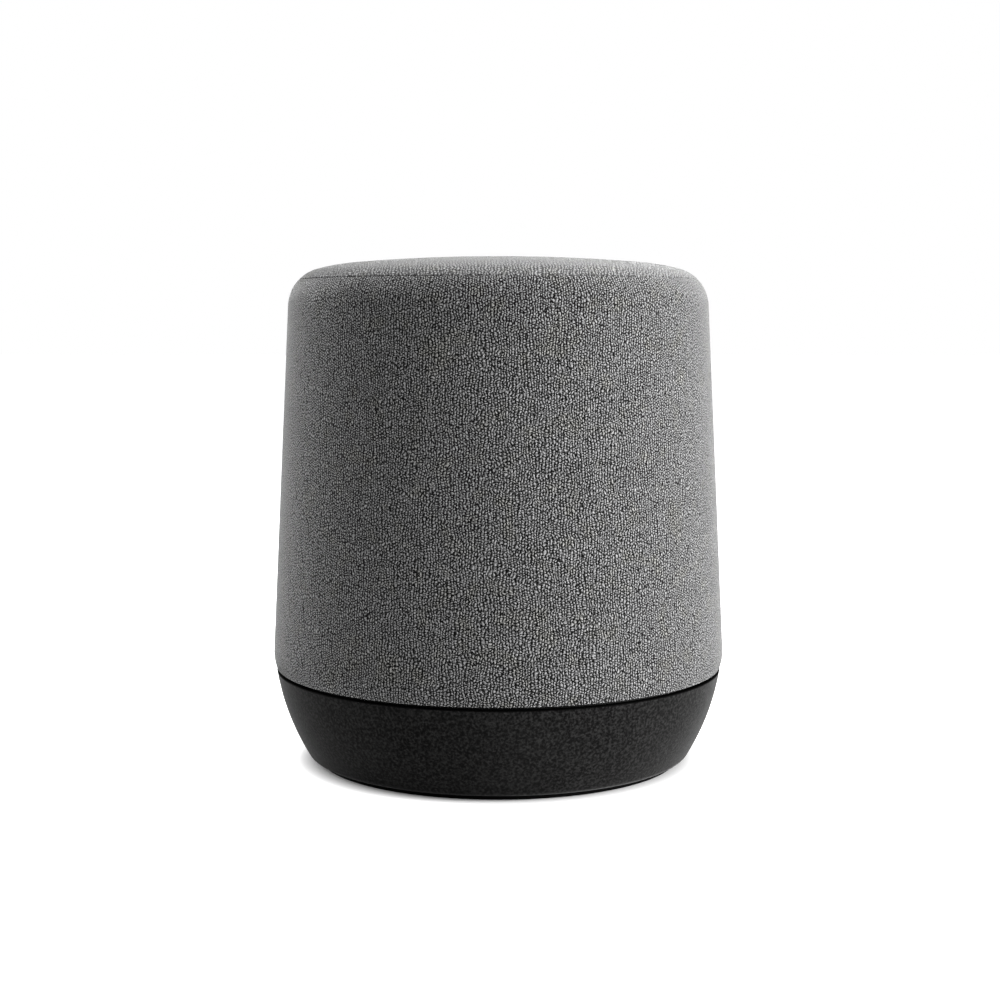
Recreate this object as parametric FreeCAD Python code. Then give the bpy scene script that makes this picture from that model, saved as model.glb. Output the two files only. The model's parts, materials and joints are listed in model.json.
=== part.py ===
import FreeCAD, Part
import math
import os
from FreeCAD import Vector

# Round fabric-covered smart speaker, millimetres, +Z up, front towards -Y, ports at the rear (+Y).
# The origin is the centre of the foot ring's underside.

# ---------------------------------------------------------------- outside shape
width = 140.0              # widest diameter, just above the fabric's hem
height = 155.6             # floor to the middle of the crown
side_lean = 2.95           # degrees that the straight side leans in
base_height = 28.6         # floor to the upper rim of the base shell
shadow_gap = 0.9           # open ring between the base's rim and the fabric's lower edge
hem_turn_radius = 14.0     # rounding that turns the fabric in above its hem
hem_turn_rise = 5.5        # height of that rounding above the fabric's lower edge
hem_bottom = base_height + shadow_gap
hem_turn_top = hem_bottom + hem_turn_rise
shoulder_radius = 12.0     # rounding between side and crown
shoulder_end = 75.0        # direction of the surface there, in degrees from level
crown_edge_radius = 60.0   # softer rounding between shoulder and crown
crown_edge_end = 85.0
seam_angle = 45.0          # where side fabric and top fabric meet on the shoulder
seam_gap = 0.5

# ---------------------------------------------------------------- skin and frame
cloth = 0.9
cloth_clearance = 0.15
frame_wall = 2.2
frame_inset = cloth + cloth_clearance
frame_inside = frame_inset + frame_wall
hem_fold_width = 1.7       # how far the folded hem reaches under the frame
slot_columns = 30
slot_tiers = 4
slot_width = 6.0
slot_bridge = 4.5          # solid band between two tiers
slot_margin_low = 7.0      # solid band below the lowest tier
slot_margin_high = 5.0

# ---------------------------------------------------------------- base
base_inset = 0.85          # rim set in from the widest radius
base_curve_radius = 72.0
base_curve_lean = 9.0      # degrees that the base's wall leans out at its rim
base_rounding = 3.0        # lower edge
base_lift = 1.4            # underside above the floor
base_wall = 2.4
base_floor = 2.6
foot_step = 0.6            # foot ring set in from the start of the rounding
foot_ring_width = 12.6
foot_groove = 1.0
fit_gap = 0.15             # between a piece and the recess it sits in
screw_gap = 0.05           # radial, between a screw and its hole

# ---------------------------------------------------------------- chassis and boards
chassis_plate = 2.6
chassis_rim_inset = 2.0    # rim set in behind the base's rim, in the shadow gap
base_post_radius = 4.0
base_post_inset = 18.5     # screw circle set in from the widest radius of the base
base_boss_height = 3.0
chassis_screw_angle = 30.0 # first of the screws that hold the enclosure to the chassis
board = 1.6
main_board_z = 20.0
standoff_radius = 3.0
port_height = 14.0
port_width = 48.0
port_z = 15.5
port_depth = 8.1           # from the base's surface to the port panel's back plate
panel_wall = 1.6
panel_plate = 2.0
io_gap = 8.5               # from the back plate to the port board
mute_travel = 2.5
pairing_travel = 0.6

# ---------------------------------------------------------------- acoustics
air_gap = 6.1              # between the enclosure and the frame, level with the baffle
enclosure_wall = 3.0
baffle = 3.5
crown_stack = 51.6         # from the baffle's top to the crown
passive_radius = 25.0
driver_rim = 9.0           # baffle left outside the driver's flange
cone_inset = 11.0          # cone edge in from the flange's edge
cone_travel = 4.0
deflector_gap = 26.0       # from the baffle to the deflector's plate
deflector_plate = 3.0
top_board_drop = 9.6       # from the crown to the top board's upper face


# ---------------------------------------------------------------- shape helpers
def cylinder(radius, z0, z1, x=0.0, y=0.0):
    return Part.makeCylinder(radius, z1 - z0, Vector(x, y, z0), Vector(0, 0, 1))


def rod_y(radius, y0, y1, x, z):
    return Part.makeCylinder(radius, y1 - y0, Vector(x, y0, z), Vector(0, 1, 0))


def tube(inner, outer, z0, z1, x=0.0, y=0.0):
    return cylinder(outer, z0, z1, x, y).cut(cylinder(inner, z0, z1, x, y))


def block(x0, x1, y0, y1, z0, z1):
    return Part.makeBox(x1 - x0, y1 - y0, z1 - z0, Vector(x0, y0, z0))


def polar(count, radius, first=0.0):
    """Centres of evenly spaced features on a circle."""
    for i in range(count):
        turn = math.radians(first + 360.0 * i / count)
        yield radius * math.cos(turn), radius * math.sin(turn)


def fuse(shapes):
    return shapes[0].multiFuse(shapes[1:]).removeSplitter() if len(shapes) > 1 else shapes[0]


def section_point(centre, radius, degrees):
    turn = math.radians(degrees)
    return Vector(centre[0] + radius * math.cos(turn), 0, centre[1] + radius * math.sin(turn))


def arc(centre, radius, start, end):
    first, middle, last = (section_point(centre, radius, turn) for turn in (start, (start + end) / 2, end))
    return Part.Arc(first, middle, last).toShape()


def outline_line(a, b):
    return Part.makeLine(Vector(a[0], 0, a[1]), Vector(b[0], 0, b[1]))


def ends(edges):
    """First and last point of a chain of section edges that runs upwards or inwards."""
    def tip(edge, parameter):
        point = edge.valueAt(parameter)
        return point.x, point.z
    return tip(edges[0], edges[0].FirstParameter), tip(edges[-1], edges[-1].LastParameter)


def polyline(points):
    return [outline_line(a, b) for a, b in zip(points, points[1:])]


def revolve(edges):
    wire = Part.Wire(Part.__sortEdges__(edges))
    return Part.Face(wire).revolve(Vector(0, 0, 0), Vector(0, 0, 1), 360)


def turned(points):
    """Solid of revolution of a straight-sided section."""
    return revolve(polyline(points + points[:1]))


def between(outer, inner):
    """Wall between two chains of section edges."""
    outer_start, outer_end = ends(outer)
    inner_start, inner_end = ends(inner)
    closing = [outline_line(outer_start, inner_start)]
    if math.dist(outer_end, inner_end) > 1e-6:
        closing.append(outline_line(outer_end, inner_end))
    return revolve(outer + inner + closing)


def racetrack(length, depth_from, depth_to, size, z):
    """Long rounded prism along Y."""
    end = size / 2
    half = length / 2 - end
    ends_pair = [rod_y(end, depth_from, depth_to, x, z) for x in (-half, half)]
    return fuse([block(-half, half, depth_from, depth_to, z - end, z + end)] + ends_pair)


# ---------------------------------------------------------------- outline of the outside
lean = math.radians(side_lean)
hem_centre = (width / 2 - hem_turn_radius, hem_turn_top - hem_turn_radius * math.sin(lean))


def unit(degrees):
    return math.cos(math.radians(degrees)), math.sin(math.radians(degrees))


def side_radius(z, depth=0.0):
    """Radius of the straight side, or of a surface parallel to it at a depth."""
    reach = hem_turn_radius - depth
    z_start = hem_centre[1] + reach * math.sin(lean)
    return hem_centre[0] + reach * math.cos(lean) - (z - z_start) * math.tan(lean)


def shoulder_centre_for(total):
    """Centre of the shoulder rounding that brings the crown to the full height."""
    c1, s1 = unit(shoulder_end)
    c2, s2 = unit(crown_edge_end)
    rise = (1 - s2) / c2
    inward = shoulder_radius * c1 - crown_edge_radius * (c1 - c2)
    at_zero = side_radius(shoulder_radius * math.sin(lean)) - shoulder_radius * math.cos(lean)
    known = shoulder_radius * s1 + crown_edge_radius * (s2 - s1) + rise * (inward + at_zero)
    z = (total - known) / (1 - rise * math.tan(lean))
    return at_zero - z * math.tan(lean), z


shoulder_centre = shoulder_centre_for(height)
shoulder_top = section_point(shoulder_centre, shoulder_radius, shoulder_end)
edge_centre = (shoulder_top.x - crown_edge_radius * unit(shoulder_end)[0],
               shoulder_top.z - crown_edge_radius * unit(shoulder_end)[1])
edge_top = section_point(edge_centre, crown_edge_radius, crown_edge_end)
crown_radius = edge_top.x / unit(crown_edge_end)[0]
crown_centre = (0.0, edge_top.z - crown_radius * unit(crown_edge_end)[1])


def side_section(depth, z_low, angle_high):
    """Hem rounding, straight side and shoulder, at a depth under the surface."""
    reach = hem_turn_radius - depth
    start = math.degrees(math.asin((z_low - hem_centre[1]) / reach))
    side_foot = section_point(hem_centre, reach, side_lean)
    side_head = section_point(shoulder_centre, shoulder_radius - depth, side_lean)
    hem = arc(hem_centre, reach, start, side_lean)
    side = Part.makeLine(side_foot, side_head)
    return [hem, side, arc(shoulder_centre, shoulder_radius - depth, side_lean, angle_high)]


def crown_section(depth, angle_low):
    """Shoulder, crown edge and crown, at a depth under the surface."""
    return [arc(shoulder_centre, shoulder_radius - depth, angle_low, shoulder_end),
            arc(edge_centre, crown_edge_radius - depth, shoulder_end, crown_edge_end),
            arc(crown_centre, crown_radius - depth, crown_edge_end, 90.0)]


def under_surface(depth):
    """Everything inside the skin at a depth, for trimming what stands up to it."""
    edges = side_section(depth, chassis_top, seam_angle) + crown_section(depth, seam_angle)
    foot = ends(edges)[0]
    crown = ends(edges)[1]
    return revolve(edges + polyline([crown, (0.0, foot[1]), foot]))


seam_half = math.degrees(seam_gap / 2 / shoulder_radius)

# ---------------------------------------------------------------- derived levels
base_rim_radius = width / 2 - base_inset
base_centre = (base_rim_radius - base_curve_radius * math.cos(math.radians(base_curve_lean)),
               base_height + base_curve_radius * math.sin(math.radians(base_curve_lean)))
chassis_bottom = base_height
chassis_top = chassis_bottom + chassis_plate
chassis_radius = base_rim_radius - chassis_rim_inset
base_inner_floor = base_lift + base_floor
baffle_top = height - crown_stack
enclosure_radius = side_radius(baffle_top, frame_inside) - air_gap
enclosure_floor = chassis_top + enclosure_wall
passive_z = enclosure_floor + passive_radius - 0.8
split_z = passive_z + passive_radius + 0.6
enclosure_gasket_thick = 0.8
flat_x = math.sqrt(enclosure_radius ** 2 - (passive_radius + 0.5) ** 2)
flange_radius = enclosure_radius - driver_rim
cone_radius = flange_radius - cone_inset
enclosure_screw_circle = flange_radius + 3.0
enclosure_boss_radius = 4.5
base_screw_circle = base_rim_radius - base_post_inset
main_board_radius = base_screw_circle - base_post_radius - 0.8
deflector_bottom = baffle_top + deflector_gap
deflector_top = deflector_bottom + deflector_plate
deflector_radius = enclosure_radius - 0.5
pillar_circle = flange_radius + 4.7
pillar_radius = 3.0
top_board_top = height - top_board_drop
top_board_bottom = top_board_top - board
lead_y = -(cone_radius - 0.5)
lead_pitch = 5.0
lead_radius = 0.7


def base_radius(z, depth=0.0):
    """Radius of the base's curved wall at a height, at a depth under its surface."""
    reach = base_curve_radius - depth
    return base_centre[0] + math.sqrt(reach ** 2 - (base_centre[1] - z) ** 2)


base_round_centre = (base_centre[0] + math.sqrt((base_curve_radius - base_rounding) ** 2
                                                - (base_centre[1] - base_lift - base_rounding) ** 2),
                     base_lift + base_rounding)
foot_outer = base_round_centre[0] - foot_step
foot_inner = foot_outer - foot_ring_width
plate_y = base_radius(port_z) - port_depth       # outer face of the port panel's back plate
plate_inner_y = plate_y - panel_plate
io_board_y = plate_inner_y - io_gap              # rear face of the port board
main_board_flat = io_board_y - board - 3.4       # rear edge of the main board


# ---------------------------------------------------------------- screws
def screw(x, y, head_face, length, shank, head_radius, head_height):
    """Pan-head screw driven upwards, its head below the face that it clamps."""
    return cylinder(shank, head_face, head_face + length, x, y).fuse(
        cylinder(head_radius, head_face - head_height, head_face, x, y))


def screw_down(x, y, head_face, length, shank, head_radius, head_height):
    """Pan-head screw driven downwards from the face that it clamps."""
    return cylinder(shank, head_face - length, head_face, x, y).fuse(
        cylinder(head_radius, head_face, head_face + head_height, x, y))


m3 = {"shank": 1.5, "head_radius": 2.5, "head_height": 2.0}
m2 = {"shank": 1.1, "head_radius": 2.0, "head_height": 1.5}
base_screw_seat = base_lift + foot_groove + 2.6
base_post_foot = base_inner_floor + base_boss_height
base_screw_length = 16.0
chassis_screw_circle = base_screw_circle - 6.0
chassis_screw_length = 10.0
enclosure_thread = 14.0    # how far those screws reach into the lower half
enclosure_screw_length = baffle_top - split_z + enclosure_thread
deflector_screw_depth = 8.0
driver_screw_length = 10.0
board_screw_length = 6.0
passive_screw_length = 5.0
passive_shank = 0.8


# ---------------------------------------------------------------- covers
def fabric_sleeve():
    """Side cloth: one tube from the shoulder seam down, turned under the frame at the hem."""
    outer = side_section(0.0, hem_bottom, seam_angle - seam_half)
    inner = side_section(cloth, chassis_top - fit_gap, seam_angle - seam_half)
    inner_foot, inner_head = ends(inner)
    outer_foot, outer_head = ends(outer)
    fold = side_radius(hem_turn_top, frame_inset) - hem_fold_width
    hem = polyline([inner_foot, (fold, chassis_top - fit_gap), (fold, hem_bottom), outer_foot])
    return revolve(outer + inner + hem + [outline_line(inner_head, outer_head)])


def fabric_top():
    """Crown cloth: one round cap inside the shoulder seam."""
    start = seam_angle + seam_half
    outer = crown_section(0.0, start)
    inner = crown_section(cloth, start)
    return between(outer, inner)


def grille_frame():
    """Slotted barrel that carries the side cloth."""
    high = seam_angle - seam_half
    outer = side_section(frame_inset, chassis_top, high)
    inner = side_section(frame_inside, chassis_top, high)
    low = chassis_top + slot_margin_low
    tier = (shoulder_centre[1] - slot_margin_high - low + slot_bridge) / slot_tiers
    slots = []
    for level in range(slot_tiers):
        z = low + level * tier
        for column in range(slot_columns):
            slot = block(enclosure_radius - air_gap, width, -slot_width / 2, slot_width / 2,
                         z, z + tier - slot_bridge)
            slots.append(slot.rotate(Vector(0, 0, 0), Vector(0, 0, 1), 360.0 * (column + 0.5) / slot_columns))
    return between(outer, inner).cut(Part.makeCompound(slots))


skirt_wall = 1.8
skirt_outer = section_point(shoulder_centre, shoulder_radius - frame_inside, seam_angle).x - 0.4
top_post_circle = pillar_circle - 6.0
top_post_radius = 3.5
spigot_radius = 1.8
led_count = 12
led_circle = 28.0
light_pin_radius = 1.4
mic_count = 4
mic_circle = 16.0
mic_boss_foot = top_board_top + 3.0
board_boss_circle = 21.0
ribbon_width = 12.0
ribbon_thick = 0.5
ribbon_gap = 2.0
ribbon_y = enclosure_radius + ribbon_gap
ribbon_top = top_board_bottom - 2.2
ribbon_bottom = port_z + port_height / 2 + 0.6


def top_frame():
    """Domed frame under the crown, with its skirt, posts and the bosses for the top board."""
    start = seam_angle + seam_half
    dome = between(crown_section(frame_inset, start), crown_section(frame_inside, start))
    skirt_low = shoulder_centre[1]
    stand = [tube(skirt_outer - skirt_wall, skirt_outer, skirt_low, height)]
    for x, y in polar(4, top_post_circle, 45.0):
        stand.append(cylinder(top_post_radius, deflector_top, height, x, y))
        stand.append(cylinder(spigot_radius, deflector_bottom + 0.5, deflector_top + 1.0, x, y))
    for x, y in polar(mic_count, mic_circle, 45.0):
        stand.append(cylinder(3.0, mic_boss_foot, height, x, y))
    for x, y in polar(4, board_boss_circle):
        stand.append(cylinder(2.6, top_board_top, height, x, y))
    stand = [piece.common(under_surface(frame_inset + frame_wall / 2)) for piece in stand]
    frame = fuse([dome] + stand)
    holes = [cylinder(light_pin_radius + 0.1, deflector_top, height, x, y)
             for x, y in polar(led_count, led_circle)]
    holes += [cylinder(1.0, deflector_top, height, x, y) for x, y in polar(mic_count, mic_circle, 45.0)]
    holes += [cylinder(m2["shank"] + screw_gap, deflector_top, top_board_top + board_screw_length, x, y)
              for x, y in polar(4, board_boss_circle)]
    notch = ribbon_width / 2 + 1.0
    holes.append(block(-notch, notch, 0, width, deflector_top, ribbon_top + ribbon_thick + 1.0))
    return frame.cut(Part.makeCompound(holes))


def base_wall_section(depth, z_low):
    foot = math.degrees(math.asin((z_low - base_centre[1]) / (base_curve_radius - depth)))
    rim = math.degrees(math.asin((base_height - base_centre[1]) / (base_curve_radius - depth)))
    return arc(base_centre, base_curve_radius - depth, foot, rim)


def base_outer_solid(depth):
    """The base's outside as one solid, at a depth under its surface."""
    if depth:
        wall = [base_wall_section(depth, base_inner_floor)]
        foot, rim = ends(wall)
        return revolve(wall + polyline([rim, (0.0, rim[1]), (0.0, foot[1]), foot]))
    across = (base_round_centre[0] - base_centre[0], base_round_centre[1] - base_centre[1])
    tangent = math.degrees(math.atan2(across[1], across[0]))
    rim_angle = math.degrees(math.asin((base_height - base_centre[1]) / base_curve_radius))
    rounding = arc(base_round_centre, base_rounding, -90.0, tangent)
    wall = arc(base_centre, base_curve_radius, tangent, rim_angle)
    foot = (base_round_centre[0], base_lift)
    rim = ends([wall])[1]
    return revolve([rounding, wall] + polyline([rim, (0.0, rim[1]), (0.0, foot[1]), foot]))


def base_shell():
    """Curved cup with the port opening, the foot groove and four screw bosses."""
    cup = base_outer_solid(0.0).cut(base_outer_solid(base_wall))
    bosses = [cylinder(5.0, base_lift, base_post_foot, x, y) for x, y in polar(4, base_screw_circle, 45.0)]
    shell = fuse([cup] + bosses)
    cuts = [tube(foot_inner - fit_gap, foot_outer + fit_gap, 0, base_lift + foot_groove)]
    for x, y in polar(4, base_screw_circle, 45.0):
        cuts.append(cylinder(m3["head_radius"] + 0.3, 0, base_screw_seat, x, y))
        cuts.append(cylinder(m3["shank"] + screw_gap, 0, base_post_foot, x, y))
    cuts.append(racetrack(port_width, plate_inner_y - 4.0, width, port_height, port_z))
    return shell.cut(Part.makeCompound(cuts))


def foot_ring():
    """Soft ring that the speaker stands on; it hides the base screws."""
    ring = tube(foot_inner, foot_outer, 0, base_lift + foot_groove)
    return ring.makeChamfer(0.4, [edge for edge in ring.Edges if edge.BoundBox.ZMax < 0.01])


def base_screws():
    return [screw(x, y, base_screw_seat, base_screw_length, **m3)
            for x, y in polar(4, base_screw_circle, 45.0)]


# ---------------------------------------------------------------- rear ports
jack_x = -11.0
jack_half = 5.0
mute_x = 3.5
pairing_x = 13.5
io_screw_x = port_width / 2 - 3.6
mute_slot_height = 2.4
mute_stem_width = 3.0
mute_grip_width = 5.0
pairing_cap_radius = 3.0
pairing_hole_gap = 0.3
plate_gap = 0.3            # between the back plate and what moves behind it
keeper = 0.8               # flange that keeps a knob or button behind the back plate
switch_depth = 3.5
stem_in_switch = 0.8       # how far the button's stem reaches into its switch
lever_in_switch = 1.0      # and the slider's lever into its own
switch_floor_gap = 0.4
jack_bore = 3.1
jack_pin_radius = 1.0


def port_panel():
    """Tray let into the rear of the base; its back plate carries the port board."""
    outside = racetrack(port_width - 2 * fit_gap, plate_inner_y, width, port_height - 2 * fit_gap, port_z)
    recess = racetrack(port_width - 2 * panel_wall, plate_y, width, port_height - 2 * panel_wall, port_z)
    tray = outside.cut(recess).common(base_outer_solid(0.3))
    bosses = [rod_y(2.4, io_board_y, plate_inner_y, x, port_z) for x in (-io_screw_x, io_screw_x)]
    tray = fuse([tray] + bosses)
    slot_half = mute_stem_width / 2 + plate_gap
    cuts = [rod_y(jack_half + 0.1, plate_inner_y - 1, plate_y + 1, jack_x, port_z),
            rod_y(pairing_cap_radius + pairing_hole_gap, plate_inner_y - 1, plate_y + 1, pairing_x, port_z),
            block(mute_x - slot_half, mute_x + slot_half + mute_travel, plate_inner_y - 1, plate_y + 1,
                  port_z - mute_slot_height / 2 - plate_gap, port_z + mute_slot_height / 2 + plate_gap)]
    for x in (-io_screw_x, io_screw_x):
        cuts.append(rod_y(m2["shank"] + screw_gap, io_board_y, plate_inner_y, x, port_z))
    return tray.cut(Part.makeCompound(cuts))


def io_board():
    half = port_width / 2 - 1.0
    plate = block(-half, half, io_board_y - board, io_board_y, port_z - 6.2, port_z + 6.2)
    holes = [rod_y(m2["shank"] + screw_gap, io_board_y - board, io_board_y, x, port_z)
             for x in (-io_screw_x, io_screw_x)]
    return plate.cut(Part.makeCompound(holes))


def port_board_screw(x):
    head_face = io_board_y - board
    shank = rod_y(m2["shank"], head_face, head_face + board_screw_length, x, port_z)
    return shank.fuse(rod_y(m2["head_radius"], head_face - m2["head_height"], head_face, x, port_z))


def power_jack():
    """Low-voltage inlet: body on the port board, round nose in the back plate, pin in its bore."""
    body = block(jack_x - jack_half, jack_x + jack_half, io_board_y, plate_inner_y - 0.2,
                 port_z - 5.5, port_z + 5.5)
    nose = rod_y(jack_half, plate_inner_y - 0.4, plate_y, jack_x, port_z)
    shell = body.fuse(nose).cut(rod_y(jack_bore, io_board_y + 1.5, plate_y, jack_x, port_z))
    return fuse([shell, rod_y(jack_pin_radius, io_board_y + 1.0, plate_y - 1.0, jack_x, port_z)])


knob_back = plate_inner_y - plate_gap - keeper


def mute_knob():
    """Slider: grip in the recess, stem through the slot, keeper flange and switch lever behind it."""
    z = port_z
    grip = block(mute_x - mute_grip_width / 2, mute_x + mute_grip_width / 2,
                 plate_y + plate_gap, plate_y + 2.0, z - 2.0, z + 2.0)
    ribs = [block(mute_x + dx - 0.3, mute_x + dx + 0.3, plate_y + 2.0, plate_y + 2.4, z - 2.0, z + 2.0)
            for dx in (-1.4, 0.0, 1.4)]
    stem = block(mute_x - mute_stem_width / 2, mute_x + mute_stem_width / 2, knob_back, plate_y + plate_gap,
                 z - mute_slot_height / 2, z + mute_slot_height / 2)
    flange = block(mute_x - 2.6, mute_x + 2.6, knob_back, knob_back + keeper, z - 2.2, z + 2.2)
    lever = block(mute_x - 0.9, mute_x + 0.9, io_board_y + switch_depth - lever_in_switch, knob_back,
                  z - 0.7, z + 0.7)
    return fuse([grip, stem, flange, lever] + ribs)


def mute_switch():
    body = block(mute_x - 4.0, mute_x + 4.0 + mute_travel, io_board_y, io_board_y + switch_depth,
                 port_z - 2.0, port_z + 2.0)
    window = block(mute_x - 1.3, mute_x + 1.3 + mute_travel,
                   io_board_y + switch_depth - lever_in_switch - switch_floor_gap, io_board_y + switch_depth,
                   port_z - 1.1, port_z + 1.1)
    return body.cut(window)


def pairing_button():
    """Round cap in the recess, with its keeper flange and the stem that presses the switch."""
    cap = rod_y(pairing_cap_radius, knob_back, plate_y + 1.0, pairing_x, port_z)
    cap = cap.makeFillet(0.5, [edge for edge in cap.Edges if edge.BoundBox.YMin > plate_y + 0.5])
    flange = rod_y(pairing_cap_radius + 1.0, knob_back, knob_back + keeper, pairing_x, port_z)
    stem = rod_y(1.5, io_board_y + switch_depth - stem_in_switch, knob_back + keeper / 2, pairing_x, port_z)
    return fuse([cap, flange, stem])


def tact_switch():
    body = block(pairing_x - 3.0, pairing_x + 3.0, io_board_y, io_board_y + switch_depth,
                 port_z - 3.0, port_z + 3.0)
    bore_floor = io_board_y + switch_depth - stem_in_switch - pairing_travel - switch_floor_gap
    return body.cut(rod_y(1.9, bore_floor, io_board_y + switch_depth, pairing_x, port_z))


# ---------------------------------------------------------------- chassis and main board
standoffs = [(sx * main_board_radius * 0.8, sy * main_board_radius * 0.3) for sx in (-1, 1) for sy in (-1, 1)]
chassis_slot_y = ribbon_y + ribbon_thick / 2
lead_passage = 5.0


def chassis():
    """Structural plate between base and enclosure; its rim shows in the shadow gap."""
    plate = cylinder(chassis_radius, chassis_bottom, chassis_top)
    posts = [cylinder(base_post_radius, base_post_foot, chassis_bottom + 0.5, x, y)
             for x, y in polar(4, base_screw_circle, 45.0)]
    posts += [cylinder(standoff_radius, main_board_z + board, chassis_bottom + 0.5, x, y)
              for x, y in standoffs]
    locator = tube(base_radius(base_height, base_wall) - 2.0, base_radius(base_height - 3.0, base_wall) - 0.4,
                   base_height - 3.0, chassis_bottom + 0.5)
    body = fuse([plate, locator] + posts)
    cuts = []
    for x, y in polar(4, base_screw_circle, 45.0):
        cuts.append(cylinder(m3["shank"] + screw_gap, 0, base_screw_seat + base_screw_length, x, y))
    for x, y in standoffs:
        cuts.append(cylinder(m2["shank"] + screw_gap, 0, main_board_z + board_screw_length, x, y))
    for x, y in polar(4, chassis_screw_circle, chassis_screw_angle):
        cuts.append(cylinder(m3["shank"] + screw_gap, 0, chassis_top, x, y))
    cuts.append(cylinder(lead_passage + 0.1, 0, chassis_top, 0, lead_y))
    half = ribbon_width / 2 + 1.0
    cuts.append(block(-half, half, chassis_slot_y - 1.2, chassis_slot_y + 1.2, 0, chassis_top))
    notch = port_width / 2 + 2.0
    cuts.append(block(-notch, notch, plate_inner_y - 2.0, width, 0, chassis_bottom))
    return body.cut(Part.makeCompound(cuts))


def main_board():
    disc = cylinder(main_board_radius, main_board_z, main_board_z + board)
    cuts = [block(-width, width, main_board_flat, width, 0, chassis_bottom)]
    cuts += [cylinder(m2["shank"] + screw_gap, 0, chassis_bottom, x, y) for x, y in standoffs]
    return disc.cut(Part.makeCompound(cuts))


def board_screws():
    """The small screws of the port board, the main board and the top board."""
    pieces = [port_board_screw(x) for x in (-io_screw_x, io_screw_x)]
    pieces += [screw(x, y, main_board_z, board_screw_length, **m2) for x, y in standoffs]
    pieces += [screw(x, y, top_board_bottom, board_screw_length, **m2)
               for x, y in polar(4, board_boss_circle)]
    return pieces


can_half = 12.0
can_height = 2.5
can_y = -4.0
sink_height = 8.0


def shield_can():
    return block(-can_half, can_half, can_y - can_half, can_y + can_half,
                 main_board_z - can_height, main_board_z)


def heat_sink():
    """Finned block under the shield can."""
    top = main_board_z - can_height
    body = block(-can_half, can_half, can_y - can_half, can_y + can_half, top - sink_height, top)
    pitch = 4.0
    fin = 1.4
    gaps = [block(-can_half + pitch * i + fin, -can_half + pitch * (i + 1),
                  can_y - can_half, can_y + can_half, top - sink_height, top - 1.8)
            for i in range(int(2 * can_half / pitch))]
    return body.cut(Part.makeCompound(gaps))


def filter_capacitors():
    def can(x, y):
        body = cylinder(5.0, main_board_z - 11.5, main_board_z, x, y)
        return body.makeFillet(0.8, [edge for edge in body.Edges if edge.BoundBox.ZMax < main_board_z - 11.0])
    return [can(x, 20.0) for x in (-12.0, 0.0, 12.0)]


def output_inductors():
    def coil(x):
        body = block(x - 5.5, x + 5.5, -34.0, -23.0, main_board_z - 6.5, main_board_z)
        return body.makeChamfer(1.0, [edge for edge in body.Edges if edge.BoundBox.ZLength > 5.0])
    return [coil(x) for x in (-9.0, 9.0)]


ribbon_plug_y = main_board_flat - 8.0
lead_plug_half = 5.5


def board_connectors():
    """Sockets for the flat cables and the driver leads, on both boards."""
    top = main_board_z + board
    ribbon_socket = block(-7.0, 7.0, ribbon_plug_y - 5.0, ribbon_plug_y, top, top + 3.0)
    lead_socket = block(-lead_plug_half, lead_plug_half, lead_y - 2.5, lead_y + 2.5, top, top + 3.0)
    io_socket = block(-7.0, 7.0, main_board_flat - 6.0, main_board_flat - 1.5,
                      main_board_z - 2.6, main_board_z)
    top_socket = block(-7.0, 7.0, top_plug_y - 5.0, top_plug_y, top_board_bottom - 3.0, top_board_bottom)
    return [ribbon_socket, lead_socket, io_socket, top_socket]


def strip(points, thickness, half_width):
    """Flat cable: a band that follows level and upright runs in the YZ plane."""
    half = thickness / 2
    runs = []
    for (y0, z0), (y1, z1) in zip(points, points[1:]):
        spread = half if z0 != z1 else 0.0
        runs.append(block(-half_width, half_width, min(y0, y1) - spread, max(y0, y1) + spread,
                          min(z0, z1) - half, max(z0, z1) + half))
    band = fuse(runs)

    def at_bend(edge):
        middle = edge.BoundBox.Center
        across = edge.BoundBox.XLength > half_width
        return across and any(math.dist((middle.y, middle.z), bend) < thickness for bend in points[1:-1])
    return band.makeFillet(thickness * 0.4, [edge for edge in band.Edges if at_bend(edge)])


def port_ribbon():
    """Flat cable from the port board to the main board."""
    z_socket = main_board_z - 1.4
    bend = main_board_flat + 1.6
    return strip([(main_board_flat - 1.5, z_socket), (bend, z_socket), (bend, port_z - 3.0),
                  (io_board_y - board, port_z - 3.0)], ribbon_thick, 5.0)


def ribbon_cable():
    """Flat cable from the main board, up behind the enclosure, to the top board."""
    y = chassis_slot_y
    z = max(ribbon_bottom, main_board_z + board + 1.5)
    return strip([(ribbon_plug_y, z), (y, z), (y, ribbon_top), (top_plug_y, ribbon_top)],
                 ribbon_thick, ribbon_width / 2)


def wifi_antennas():
    """Two upright aerial boards under the chassis, towards the front."""
    y = -(chassis_radius - 11.5)
    return [block(x - 9.0, x + 9.0, y - 0.4, y + 0.4, chassis_bottom - 8.0, chassis_bottom)
            for x in (-17.0, 17.0)]


def chassis_screws():
    return [screw(x, y, chassis_bottom, chassis_screw_length, **m3)
            for x, y in polar(4, chassis_screw_circle, chassis_screw_angle)]


# ---------------------------------------------------------------- sealed enclosure
def enclosure_body(radius, half_flat, z0, z1):
    drum = cylinder(radius, z0, z1)
    return drum.common(block(-half_flat, half_flat, -radius, radius, z0, z1))


def passive_opening(sign):
    hole = Part.makeCylinder(passive_radius - 6.0, 2 * enclosure_wall, Vector(0, 0, 0), Vector(1, 0, 0))
    hole.translate(Vector(flat_x - 1.5 * enclosure_wall, 0, passive_z))
    return hole if sign > 0 else hole.mirror(Vector(0, 0, 0), Vector(1, 0, 0))


passive_screw_circle = passive_radius - 1.9


def passive_screw_points():
    """Places of the passive radiator's screws, in its own plane."""
    return list(polar(4, passive_screw_circle, 45.0))


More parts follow.
